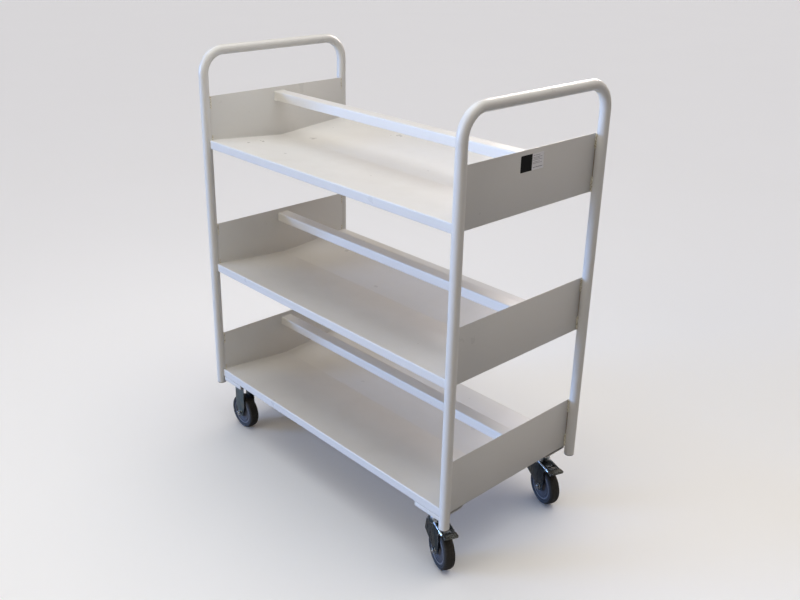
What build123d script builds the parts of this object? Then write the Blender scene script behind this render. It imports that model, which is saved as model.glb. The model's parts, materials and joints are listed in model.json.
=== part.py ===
"""Double-sided book cart: two bent-tube hoops, three V-floored trays and four castors.

X runs along the trays, Y from front to back and Z up from the floor.  The left castors are
rigid.  The right castors swivel, trail to the right at rest and carry a foot brake each.
"""

import os
from math import cos, radians, sin, sqrt

from build123d import *

os.makedirs("parts", exist_ok=True)

# ---------------------------------------------------------------- driving dimensions, mm
HOOP_SPACING = 905.0  # between the planes of the two hoops
LEG_SPACING = 460.0  # between the leg centres of one hoop
TUBE_DIA = 25.0
TUBE_WALL = 1.5
BAR_Z = 1087.5  # centre of each hoop's top bar
BEND_RADIUS = 60.0
LEG_END_Z = 138.0  # underside of the leg plugs
PLUG_HEAD = 2.5
PLUG_DEPTH = 22.0
PLUG_CLEARANCE = 0.1
PLUG_CHAMFER = 1.0

LIP_Z = {"top": 860.0, "middle": 512.0, "bottom": 183.0}  # upper edge of each tray's lips
LIP_HEIGHT = 23.0
LIP_RETURN = 10.0
TROUGH_DEPTH = 20.0
TRAY_SHEET = 1.2
LIP_BEND = 2.5
TROUGH_BEND = 12.0

PLATE_OFFSET = 10.0  # from the hoop plane in to the end plate's outer face
PLATE_SHEET = 1.5
PLATE_HEIGHT = 136.0
PLATE_BELOW_LIP = 21.5
PLATE_EDGE_GAP = 2.5  # slot between the plate's edge and the tube, closed by the welds
FIT_UP_GAP = 0.2

RAIL_WIDTH = 35.0
RAIL_HEIGHT = 25.0
RAIL_WALL = 1.5
RAIL_CORNER = 3.0
RAIL_ABOVE_LIP = 103.0  # from the lips up to the rail's top face

WELD_RADIUS = 2.6
WELD_LENGTH = 36.0
WELD_OFFSET = 1.2  # bead's middle, out from the plate's face

LABEL_WIDTH = 75.0
LABEL_HEIGHT = 36.0
LABEL_SHEET = 0.4
LABEL_CORNER = 2.0
LABEL_Z = 945.5

BRACKET_SHEET = 2.5
BRACKET_Z = 147.5  # underside of the brackets, where the castors bolt on
BRACKET_X = (357.0, 436.0)
BRACKET_DEPTH = 80.0
BRACKET_FRONT_BEND = 3.0
BRACKET_REAR_BEND = 9.0
BRACKET_FLOOR_GAP = 0.5  # under the tray's floor, at the bracket's rear wall

CASTOR_X = 396.0
CASTOR_Y = 190.0
TRAIL = 28.0
FRONT_SWIVEL_ANGLE = -21.5
BACK_SWIVEL_ANGLE = -18.0

WHEEL_RADIUS = 50.0
TYRE_WIDTH = 28.0
TYRE_CROWN = 5.0
TYRE_SHOULDER = 3.0
TREAD_FLAT = 5.6  # half width of the tread's level middle
HUB_RADIUS = 37.5
HUB_EDGE = 11.5  # half width of the hub where the tyre grips it
HUB_BORE = 6.05
HUB_FACE = [  # hub's side from its nose to its rim: half width, radius
    (14.0, 12.0),
    (11.5, 13.0),
    (9.5, 15.0),
    (9.5, 24.0),
    (11.0, 25.0),
    (11.0, 28.0),
    (9.5, 29.0),
    (9.5, 31.0),
    (12.5, 32.5),
    (12.5, 35.5),
]

FORK_INSIDE = 33.0
FORK_SHEET = 2.5
FORK_BEND = 4.0  # outside radius between a fork's crown and its legs
BOSS_RADIUS = 12.0
LEG_TAPER_Z = 74.0
RIGID_HALF = 20.0  # half the length of a rigid fork along the cart

AXLE_RADIUS = 4.0
AXLE_SLEEVE_RADIUS = 6.0
SLEEVE_CLEARANCE = 0.1
AXLE_HEX = 6.5  # half the width across the flats
AXLE_HEAD = 5.5
AXLE_NUT = 6.5
AXLE_TAIL = 8.5

KING_RADIUS = 6.0  # M12 bolt that holds a castor on, and on which a swivel fork turns
KING_RUNNING = 0.06
KING_HEX = 9.0
KING_HEAD = 6.5
KING_NUT = 9.0
KING_TAIL = 11.0
THREAD_GAP = 0.02
BOLT_HOLE_GAP = 0.25

# A swivel fork is drawn by s, along its trail from the swivel axis, and z.
SWIVEL_CROWN = [(-42.0, 101.25), (12.0, 119.5), (72.0, 114.5)]  # its ends lie past the fork's
CROWN_KNEE = 12.0
SWIVEL_LEG = [(-30.0, 72.0), (-22.0, 108.0), (60.0, 110.0), (42.0, 103.0), (43.0, 74.0)]
WINDOW_S = (40.0, 57.0)
WINDOW_WIDTH = 22.0
HEAD_RADIUS = 23.0
HEAD_FOOT = 112.0
HEAD_SHOULDER = 118.0
HEAD_TOP = 130.0
HEAD_TAPER = 8.0
SEAT_RADIUS = 13.0  # boss under the crown that the king bolt's head faces
SEAT_Z = 109.5
BALL_RADIUS = 3.5
BALL_CIRCLE = 17.0
BALL_COUNT = 14
RACE_GAP = 0.4
RACE_RIM = 1.5
RACE_TAPER = 12.0

PIVOT_S = 49.5  # brake pivot
PIVOT_Z = 110.2
PIN_RADIUS = 2.5
PIN_RUNNING = 0.06
PIN_END = 1.0
SHOE_WIDTH = 20.0
SHOE = [  # from the pivot: eye, neck under the crown's end, step up to the pedal, brake face
    (-4.0, 3.0),
    (0.0, 4.0),
    (4.0, 3.5),
    (7.0, 2.0),
    (11.5, 2.0),
    (14.0, 6.3),
    (17.0, 6.3),
    (15.0, -2.0),
    (10.0, -14.5),
    (5.0, -13.5),
    (-4.0, -4.0),
]
PEDAL_WIDTH = 34.0
PEDAL = [(13.5, 6.3), (13.5, 2.3), (30.5, 3.3), (30.5, 6.3)]  # from the pivot
PEDAL_CORNER = 5.0
SPRING_SHEET = 1.0
SPRING_S = (24.0, 43.0)
SPRING_WIDTH = 16.0

# ---------------------------------------------------------------- worked out from them
HOOP_X = HOOP_SPACING / 2
LEG_Y = LEG_SPACING / 2
TUBE_RADIUS = TUBE_DIA / 2
PLATE_X = HOOP_X - PLATE_OFFSET  # outer face
PLATE_HALF_WIDTH = LEG_Y - sqrt(TUBE_RADIUS**2 - PLATE_OFFSET**2) - PLATE_EDGE_GAP
SPAN = 2 * (PLATE_X - PLATE_SHEET - FIT_UP_GAP)  # length of the trays and rails
FORK_OUTSIDE = FORK_INSIDE + 2 * FORK_SHEET
RIGID_CROWN = [(-2 * RIGID_HALF, BRACKET_Z), (2 * RIGID_HALF, BRACKET_Z)]  # longer than the fork
CROWN_SLOPE = (SWIVEL_CROWN[2][1] - SWIVEL_CROWN[1][1]) / (SWIVEL_CROWN[2][0] - SWIVEL_CROWN[1][0])
RACE_Z = HEAD_TOP + 2 * BALL_RADIUS + RACE_GAP
CORNERS = {"front": -1, "back": 1}
SIDES = {"left": -1, "right": 1}


def save(builder, name):
    """Label the finished sub-part and write its STEP."""
    builder.part.label = name
    export_step(builder.part, f"parts/{name}.step")


# ---------------------------------------------------------------- hoops and leg plugs
for side, sign in SIDES.items():
    with BuildPart() as hoop:
        with BuildLine(Plane.YZ.offset(sign * HOOP_X)) as centre_line:
            FilletPolyline(
                (-LEG_Y, LEG_END_Z + PLUG_HEAD),
                (-LEG_Y, BAR_Z),
                (LEG_Y, BAR_Z),
                (LEG_Y, LEG_END_Z + PLUG_HEAD),
                radius=BEND_RADIUS,
            )
        with BuildSketch(Plane(origin=centre_line.line @ 0, z_dir=centre_line.line % 0)):
            Circle(TUBE_RADIUS)
            Circle(TUBE_RADIUS - TUBE_WALL, mode=Mode.SUBTRACT)
        sweep()
    save(hoop, f"{side}_hoop")

leg_centres = [(sx * HOOP_X, sy * LEG_Y) for sx in (-1, 1) for sy in (-1, 1)]
with BuildPart() as plugs:
    with BuildSketch(Plane.XY.offset(LEG_END_Z)):
        with Locations(*leg_centres):
            Circle(TUBE_RADIUS)
    extrude(amount=PLUG_HEAD)
    chamfer(plugs.edges().group_by(Axis.Z)[0], length=PLUG_CHAMFER)
    with BuildSketch(Plane.XY.offset(LEG_END_Z + PLUG_HEAD)):
        with Locations(*leg_centres):
            Circle(TUBE_RADIUS - TUBE_WALL - PLUG_CLEARANCE)
    extrude(amount=PLUG_DEPTH)
save(plugs, "leg_end_plugs")

# ---------------------------------------------------------------- trays, end plates, rails
for level, lip_z in LIP_Z.items():
    with BuildPart() as tray:
        with BuildSketch(Plane.YZ.offset(-SPAN / 2)):
            with BuildLine():
                FilletPolyline(
                    (-LEG_Y + LIP_RETURN, lip_z - LIP_HEIGHT),
                    (-LEG_Y, lip_z - LIP_HEIGHT),
                    (-LEG_Y, lip_z),
                    (0, lip_z - TROUGH_DEPTH),
                    (LEG_Y, lip_z),
                    (LEG_Y, lip_z - LIP_HEIGHT),
                    (LEG_Y - LIP_RETURN, lip_z - LIP_HEIGHT),
                    radius=[LIP_BEND, LIP_BEND, TROUGH_BEND, LIP_BEND, LIP_BEND],
                )
                offset(amount=TRAY_SHEET, side=Side.RIGHT)
            make_face()
        extrude(amount=SPAN)
        with BuildSketch(Plane.XY.offset(lip_z - LIP_HEIGHT)):
            with Locations(*leg_centres):
                Circle(TUBE_RADIUS + FIT_UP_GAP)
        extrude(amount=LIP_HEIGHT, mode=Mode.SUBTRACT)
    save(tray, f"{level}_tray")

    for side, sign in SIDES.items():
        with BuildPart() as plate:
            with BuildSketch(Plane.YZ.offset(sign * PLATE_X)):
                with Locations((0, lip_z - PLATE_BELOW_LIP + PLATE_HEIGHT / 2)):
                    Rectangle(2 * PLATE_HALF_WIDTH, PLATE_HEIGHT)
            extrude(amount=-sign * PLATE_SHEET)
        save(plate, f"{level}_{side}_end_plate")

    with BuildPart() as rail:
        with BuildSketch(Plane.YZ.offset(-SPAN / 2)):
            with Locations((0, lip_z + RAIL_ABOVE_LIP - RAIL_HEIGHT / 2)):
                RectangleRounded(RAIL_WIDTH, RAIL_HEIGHT, RAIL_CORNER)
                RectangleRounded(
                    RAIL_WIDTH - 2 * RAIL_WALL,
                    RAIL_HEIGHT - 2 * RAIL_WALL,
                    RAIL_CORNER - RAIL_WALL,
                    mode=Mode.SUBTRACT,
                )
        extrude(amount=SPAN)
    save(rail, f"{level}_rail")

# ---------------------------------------------------------------- weld beads and label
# Each bead fills the slot between a plate's edge and the tube beside it, and stands proud outside.
with BuildPart() as welds:
    for lip_z in LIP_Z.values():
        plate_bottom = lip_z - PLATE_BELOW_LIP
        for bead_z in (plate_bottom, plate_bottom + PLATE_HEIGHT - WELD_LENGTH):
            with BuildSketch(Plane.XY.offset(bead_z)):
                for sx in (-1, 1):
                    for sy in (-1, 1):
                        with Locations((sx * (PLATE_X + WELD_OFFSET), sy * PLATE_HALF_WIDTH)):
                            Circle(WELD_RADIUS)
                    with Locations((sx * (PLATE_X - PLATE_SHEET / 2), 0)):
                        Rectangle(PLATE_SHEET, 2 * PLATE_HALF_WIDTH, mode=Mode.SUBTRACT)
                with Locations(*leg_centres):
                    Circle(TUBE_RADIUS, mode=Mode.SUBTRACT)
            extrude(amount=WELD_LENGTH)
save(welds, "weld_beads")

with BuildPart() as label:
    with BuildSketch(Plane.YZ.offset(PLATE_X)):
        with Locations((0, LABEL_Z)):
            RectangleRounded(LABEL_WIDTH, LABEL_HEIGHT, LABEL_CORNER)
    extrude(amount=LABEL_SHEET)
save(label, "asset_label")

# ---------------------------------------------------------------- castor brackets
bracket_length = BRACKET_X[1] - BRACKET_X[0]
bracket_rear_y = LEG_Y - BRACKET_DEPTH
floor_drop = TROUGH_DEPTH * BRACKET_DEPTH / LEG_Y
bracket_rear_top = LIP_Z["bottom"] - floor_drop - TRAY_SHEET - BRACKET_FLOOR_GAP

for end, sy in CORNERS.items():
    for side, sx in SIDES.items():
        with BuildPart() as bracket:
            with BuildSketch(Plane.YZ.offset(sx * BRACKET_X[0])):
                with BuildLine():
                    FilletPolyline(
                        (sy * LEG_Y, LIP_Z["bottom"] - LIP_HEIGHT),
                        (sy * LEG_Y, BRACKET_Z),
                        (sy * bracket_rear_y, BRACKET_Z),
                        (sy * bracket_rear_y, bracket_rear_top),
                        radius=[BRACKET_FRONT_BEND, BRACKET_REAR_BEND],
                    )
                    offset(amount=BRACKET_SHEET, side=Side.LEFT if sy < 0 else Side.RIGHT)
                make_face()
            extrude(amount=sx * bracket_length)
            with Locations((sx * CASTOR_X, sy * CASTOR_Y, BRACKET_Z + BRACKET_SHEET / 2)):
                Hole(KING_RADIUS + BOLT_HOLE_GAP, depth=2 * BRACKET_SHEET)
        save(bracket, f"{end}_{side}_castor_bracket")


# ---------------------------------------------------------------- castor pieces
def castor_plane(sx, sy, angle=0.0):
    """Floor plane under a castor: x along the fork's trail, y along the axle, z up."""
    return Plane(
        origin=(sx * CASTOR_X, sy * CASTOR_Y, 0),
        x_dir=(cos(radians(angle)), sin(radians(angle)), 0),
        z_dir=(0, 0, 1),
    )


def upright(base, across=0.0):
    """Vertical plane along the fork: x along the trail, y up, at a distance along the axle."""
    return Plane(origin=base.from_local_coords((0, across, 0)), x_dir=base.x_dir, z_dir=-base.y_dir)


def axle_plane(base, trail):
    """Plane that holds the axle and the vertical through it: x along the axle, y up."""
    return Plane(
        origin=base.from_local_coords((trail, 0, WHEEL_RADIUS)), x_dir=base.y_dir, z_dir=base.x_dir
    )


def make_wheel(base, trail, name):
    """Plastic hub with stepped rings, and the tyre moulded around it."""
    spin_axis = Axis(base.from_local_coords((trail, 0, WHEEL_RADIUS)), base.y_dir)
    with BuildPart() as hub:
        with BuildSketch(axle_plane(base, trail)):
            with BuildLine():
                Polyline(
                    (0, HUB_BORE),
                    (HUB_FACE[0][0], HUB_BORE),
                    *HUB_FACE,
                    (HUB_EDGE, HUB_RADIUS),
                    (0, HUB_RADIUS),
                )
                mirror(about=Plane.YZ)
            make_face()
        revolve(axis=spin_axis)
    save(hub, f"{name}_hub")

    half = TYRE_WIDTH / 2
    crown_end = (half, WHEEL_RADIUS - TYRE_CROWN)
    with BuildPart() as tyre:
        with BuildSketch(axle_plane(base, trail)):
            with BuildLine():
                Polyline(
                    (0, HUB_RADIUS),
                    (HUB_EDGE, HUB_RADIUS),
                    (half, HUB_RADIUS + TYRE_SHOULDER),
                    crown_end,
                )
                TangentArc((TREAD_FLAT, WHEEL_RADIUS), crown_end, tangent=(1, 0))
                Line((TREAD_FLAT, WHEEL_RADIUS), (0, WHEEL_RADIUS))
                mirror(about=Plane.YZ)
            make_face()
        revolve(axis=spin_axis)
    save(tyre, f"{name}_tyre")


def make_axles(seats, name, ending=""):
    """Bolt, nut and sleeve for each (plane, trail) seat, the nut on the front side."""
    with BuildPart() as bolt:
        for base, trail in seats:
            with BuildSketch(upright(base, FORK_OUTSIDE / 2)):
                with Locations((trail, WHEEL_RADIUS)):
                    RegularPolygon(radius=AXLE_HEX, side_count=6, major_radius=False)
            extrude(amount=-AXLE_HEAD)
            with BuildSketch(upright(base, FORK_OUTSIDE / 2)):
                with Locations((trail, WHEEL_RADIUS)):
                    Circle(AXLE_RADIUS)
            extrude(amount=FORK_OUTSIDE + AXLE_TAIL)
    save(bolt, f"{name}_axle_bolt{ending}")

    with BuildPart() as nut:
        for base, trail in seats:
            with BuildSketch(upright(base, -FORK_OUTSIDE / 2)):
                with Locations((trail, WHEEL_RADIUS)):
                    RegularPolygon(radius=AXLE_HEX, side_count=6, major_radius=False)
                    Circle(AXLE_RADIUS, mode=Mode.SUBTRACT)
            extrude(amount=AXLE_NUT)
    save(nut, f"{name}_axle_nut{ending}")

    with BuildPart() as sleeve:
        for base, trail in seats:
            with BuildSketch(upright(base, FORK_INSIDE / 2)):
                with Locations((trail, WHEEL_RADIUS)):
                    Circle(AXLE_SLEEVE_RADIUS)
                    Circle(AXLE_RADIUS + SLEEVE_CLEARANCE, mode=Mode.SUBTRACT)
            extrude(amount=FORK_INSIDE)
    save(sleeve, f"{name}_axle_sleeve{ending}")


def below_crown(base, width, crown, drop=0.0):
    """All that lies below a fork's crown line, lowered by drop, seen from the side."""
    with BuildSketch(upright(base, width / 2)) as area:
        with BuildLine():
            lowered = [(s, z - drop) for s, z in crown]
            Polyline((crown[0][0], 0), *lowered, (crown[-1][0], 0), close=True)
        make_face()
        fillet(area.vertices().group_by(Axis.Y)[-1], radius=CROWN_KNEE)
    return area.sketch


def fold_edges(blank, base):
    """Edges between a fork blank's crown and its two legs."""
    across = Axis(base.origin, base.y_dir)
    return blank.edges().filter_by_position(Axis.Z, LEG_TAPER_Z, BRACKET_Z).filter_by(across, reverse=True)


def leg_sketch(base, trail, corners):
    """Fork seen from the side: corners from the boss's front round to its back."""
    with BuildSketch(upright(base, FORK_OUTSIDE / 2)) as leg:
        with BuildLine():
            front = (trail - BOSS_RADIUS, WHEEL_RADIUS)
            back = (trail + BOSS_RADIUS, WHEEL_RADIUS)
            Polyline(front, *corners, back)
            ThreePointArc(back, (trail, WHEEL_RADIUS - BOSS_RADIUS), front)
        make_face()
        with Locations((trail, WHEEL_RADIUS)):
            Circle(AXLE_RADIUS + SLEEVE_CLEARANCE, mode=Mode.SUBTRACT)
    return leg.sketch


def from_pivot(outline):
    """Move an outline drawn about the brake pivot to its place on the fork."""
    return [(PIVOT_S + s, PIVOT_Z + z) for s, z in outline]


# ---------------------------------------------------------------- rigid castors, left
rigid_planes = {end: castor_plane(-1, sy) for end, sy in CORNERS.items()}
rigid_corners = [
    (-RIGID_HALF, LEG_TAPER_Z),
    (-RIGID_HALF, BRACKET_Z),
    (RIGID_HALF, BRACKET_Z),
    (RIGID_HALF, LEG_TAPER_Z),
]

for end, base in rigid_planes.items():
    with BuildPart() as fork:
        extrude(below_crown(base, FORK_OUTSIDE, RIGID_CROWN), amount=FORK_OUTSIDE)
        fillet(fold_edges(fork, base), radius=FORK_BEND)
        extrude(leg_sketch(base, 0, rigid_corners), amount=FORK_OUTSIDE, mode=Mode.INTERSECT)
        inside = below_crown(base, FORK_INSIDE, RIGID_CROWN, FORK_SHEET)
        extrude(inside, amount=FORK_INSIDE, mode=Mode.SUBTRACT)
        with BuildSketch(base.offset(BRACKET_Z - FORK_SHEET)):
            Circle(KING_RADIUS + BOLT_HOLE_GAP)
        extrude(amount=FORK_SHEET, mode=Mode.SUBTRACT)
    save(fork, f"{end}_left_fork")
    make_wheel(base, 0, f"{end}_left")

with BuildPart() as rigid_bolts:
    for base in rigid_planes.values():
        with BuildSketch(base.offset(BRACKET_Z - FORK_SHEET - KING_HEAD)):
            RegularPolygon(radius=KING_HEX, side_count=6, major_radius=False)
        extrude(amount=KING_HEAD)
        with BuildSketch(base.offset(BRACKET_Z - FORK_SHEET)):
            Circle(KING_RADIUS)
        extrude(amount=FORK_SHEET + BRACKET_SHEET + KING_TAIL)
save(rigid_bolts, "rigid_castor_bolts")

make_axles([(base, 0) for base in rigid_planes.values()], "rigid", "s")

with BuildPart() as mount_nuts:
    for sx in (-1, 1):
        for sy in (-1, 1):
            with BuildSketch(castor_plane(sx, sy).offset(BRACKET_Z + BRACKET_SHEET)):
                RegularPolygon(radius=KING_HEX, side_count=6, major_radius=False)
                Circle(KING_RADIUS + THREAD_GAP, mode=Mode.SUBTRACT)
            extrude(amount=KING_NUT)
save(mount_nuts, "castor_mount_nuts")

# ---------------------------------------------------------------- swivel castors, right
swivel_planes = {
    "front": castor_plane(1, -1, FRONT_SWIVEL_ANGLE),
    "back": castor_plane(1, 1, BACK_SWIVEL_ANGLE),
}
above_crown = [(SWIVEL_LEG[1][0], HEAD_TOP), (SWIVEL_LEG[2][0], HEAD_TOP)]
swivel_corners = SWIVEL_LEG[:2] + above_crown + SWIVEL_LEG[2:]

with BuildPart() as king_bolts:
    for base in swivel_planes.values():
        shank_bottom = SEAT_Z - RACE_GAP
        with BuildSketch(base.offset(shank_bottom - KING_HEAD)):
            RegularPolygon(radius=KING_HEX, side_count=6, major_radius=False)
        extrude(amount=KING_HEAD)
        with BuildSketch(base.offset(shank_bottom)):
            Circle(KING_RADIUS)
        extrude(amount=BRACKET_Z + BRACKET_SHEET + KING_TAIL - shank_bottom)
save(king_bolts, "king_bolts")

with BuildPart() as races:
    for base in swivel_planes.values():
        with BuildSketch(base.offset(RACE_Z)):
            Circle(HEAD_RADIUS + RACE_RIM)
            Circle(KING_RADIUS + THREAD_GAP, mode=Mode.SUBTRACT)
        extrude(amount=BRACKET_Z - RACE_Z, taper=RACE_TAPER)
save(races, "swivel_upper_races")

for end, base in swivel_planes.items():
    with BuildPart() as fork:
        extrude(below_crown(base, FORK_OUTSIDE, SWIVEL_CROWN), amount=FORK_OUTSIDE)
        fillet(fold_edges(fork, base), radius=FORK_BEND)
        extrude(leg_sketch(base, TRAIL, swivel_corners), amount=FORK_OUTSIDE, mode=Mode.INTERSECT)
        with BuildSketch(base.offset(HEAD_FOOT)):
            Circle(HEAD_RADIUS)
        extrude(amount=HEAD_SHOULDER - HEAD_FOOT)
        with BuildSketch(base.offset(HEAD_SHOULDER)):
            Circle(HEAD_RADIUS)
        extrude(amount=HEAD_TOP - HEAD_SHOULDER, taper=HEAD_TAPER)
        inside = below_crown(base, FORK_INSIDE, SWIVEL_CROWN, FORK_SHEET)
        extrude(inside, amount=FORK_INSIDE, mode=Mode.SUBTRACT)
        with BuildSketch(upright(base, FORK_OUTSIDE / 2)):
            with Locations((PIVOT_S, PIVOT_Z)):
                Circle(PIN_RADIUS + PIN_RUNNING)
        extrude(amount=FORK_OUTSIDE, mode=Mode.SUBTRACT)
        with BuildSketch(base.offset(PIVOT_Z)):
            with Locations((sum(WINDOW_S) / 2, 0)):
                Rectangle(WINDOW_S[1] - WINDOW_S[0], WINDOW_WIDTH)
        extrude(amount=HEAD_TOP - PIVOT_Z, mode=Mode.SUBTRACT)
        with BuildSketch(base.offset(SEAT_Z)):
            Circle(SEAT_RADIUS)
        extrude(amount=HEAD_SHOULDER - SEAT_Z)
        with BuildSketch(base.offset(SEAT_Z)):
            Circle(KING_RADIUS + KING_RUNNING)
        extrude(amount=HEAD_TOP - SEAT_Z, mode=Mode.SUBTRACT)
    save(fork, f"{end}_right_fork")

    with BuildPart() as balls:
        with Locations(base.offset(HEAD_TOP + BALL_RADIUS)):
            with PolarLocations(BALL_CIRCLE, BALL_COUNT):
                Sphere(BALL_RADIUS)
    save(balls, f"{end}_right_bearing_balls")

    make_axles([(base, TRAIL)], f"{end}_right")
    make_wheel(base, TRAIL, f"{end}_right")

    # The pivot pin is fixed in the pedal's eye and turns in the fork.
    with BuildPart() as pin:
        with BuildSketch(upright(base, FORK_OUTSIDE / 2 + PIN_END)):
            with Locations((PIVOT_S, PIVOT_Z)):
                Circle(PIN_RADIUS)
        extrude(amount=FORK_OUTSIDE + 2 * PIN_END)
    save(pin, f"{end}_right_brake_pin")

    with BuildPart() as pedal:
        with BuildSketch(upright(base, SHOE_WIDTH / 2)):
            with BuildLine():
                Polyline(*from_pivot(SHOE), close=True)
            make_face()
            with Locations((PIVOT_S, PIVOT_Z)):
                Circle(PIN_RADIUS, mode=Mode.SUBTRACT)
        extrude(amount=SHOE_WIDTH)
        with BuildSketch(upright(base, PEDAL_WIDTH / 2)):
            with BuildLine():
                Polyline(*from_pivot(PEDAL), close=True)
            make_face()
        extrude(amount=PEDAL_WIDTH)
        outer_edges = pedal.edges().filter_by(Axis.Z).group_by(Axis(base.origin, base.x_dir))[-1]
        fillet(outer_edges, radius=PEDAL_CORNER)
    save(pedal, f"{end}_right_brake_pedal")

    with BuildPart() as spring:
        with BuildSketch(upright(base, SPRING_WIDTH / 2)):
            with BuildLine():
                knee_s, knee_z = SWIVEL_CROWN[1]
                top = [(s, knee_z - FORK_SHEET + CROWN_SLOPE * (s - knee_s)) for s in SPRING_S]
                bottom = [(s, z - SPRING_SHEET) for s, z in reversed(top)]
                Polyline(*top, *bottom, close=True)
            make_face()
        extrude(amount=SPRING_WIDTH)
    save(spring, f"{end}_right_brake_spring")
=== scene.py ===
# Looks of the book cart: powder coat, welds, label, castor details, studio light and camera.
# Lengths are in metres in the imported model's frame: X along the trays, Y from front to back, Z up.

import math
import random

import bmesh
import bpy
from mathutils import Matrix, Vector
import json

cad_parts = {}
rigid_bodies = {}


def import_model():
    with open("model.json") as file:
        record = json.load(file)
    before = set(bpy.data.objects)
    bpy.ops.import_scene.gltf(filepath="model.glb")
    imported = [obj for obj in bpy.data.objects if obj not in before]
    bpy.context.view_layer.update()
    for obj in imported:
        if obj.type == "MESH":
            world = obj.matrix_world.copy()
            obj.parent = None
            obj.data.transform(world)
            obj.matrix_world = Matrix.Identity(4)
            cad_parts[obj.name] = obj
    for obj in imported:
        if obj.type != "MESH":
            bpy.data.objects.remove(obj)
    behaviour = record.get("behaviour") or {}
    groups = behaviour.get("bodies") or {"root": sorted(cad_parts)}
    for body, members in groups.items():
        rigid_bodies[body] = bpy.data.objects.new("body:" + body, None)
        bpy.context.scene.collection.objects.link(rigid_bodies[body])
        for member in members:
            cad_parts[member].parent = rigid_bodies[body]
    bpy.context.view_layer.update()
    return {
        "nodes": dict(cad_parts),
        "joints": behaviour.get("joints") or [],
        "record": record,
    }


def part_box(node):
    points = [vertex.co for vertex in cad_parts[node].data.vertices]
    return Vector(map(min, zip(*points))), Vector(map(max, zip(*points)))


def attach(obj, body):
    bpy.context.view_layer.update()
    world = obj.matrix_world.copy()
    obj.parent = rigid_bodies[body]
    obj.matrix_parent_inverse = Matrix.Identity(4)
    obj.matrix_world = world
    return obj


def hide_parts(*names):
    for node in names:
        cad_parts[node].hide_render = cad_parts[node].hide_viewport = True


for leftover in list(bpy.data.objects):
    bpy.data.objects.remove(leftover)

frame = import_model()
nodes = frame["nodes"]

ENDS = ("front", "back")
SIDES = ("left", "right")
LEVELS = ("top", "middle", "bottom")
CORNERS = [f"{end}_{side}" for end in ENDS for side in SIDES]
UP = Vector((0, 0, 1))

body_of_node = {}
for body_name, members in frame["record"]["behaviour"]["bodies"].items():
    for member in members:
        body_of_node[member] = body_name
slot_of_node = {row["node"]: row["material_slot"] for row in frame["record"]["subparts"]}
joints = {joint["name"]: joint for joint in frame["joints"]}


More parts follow.
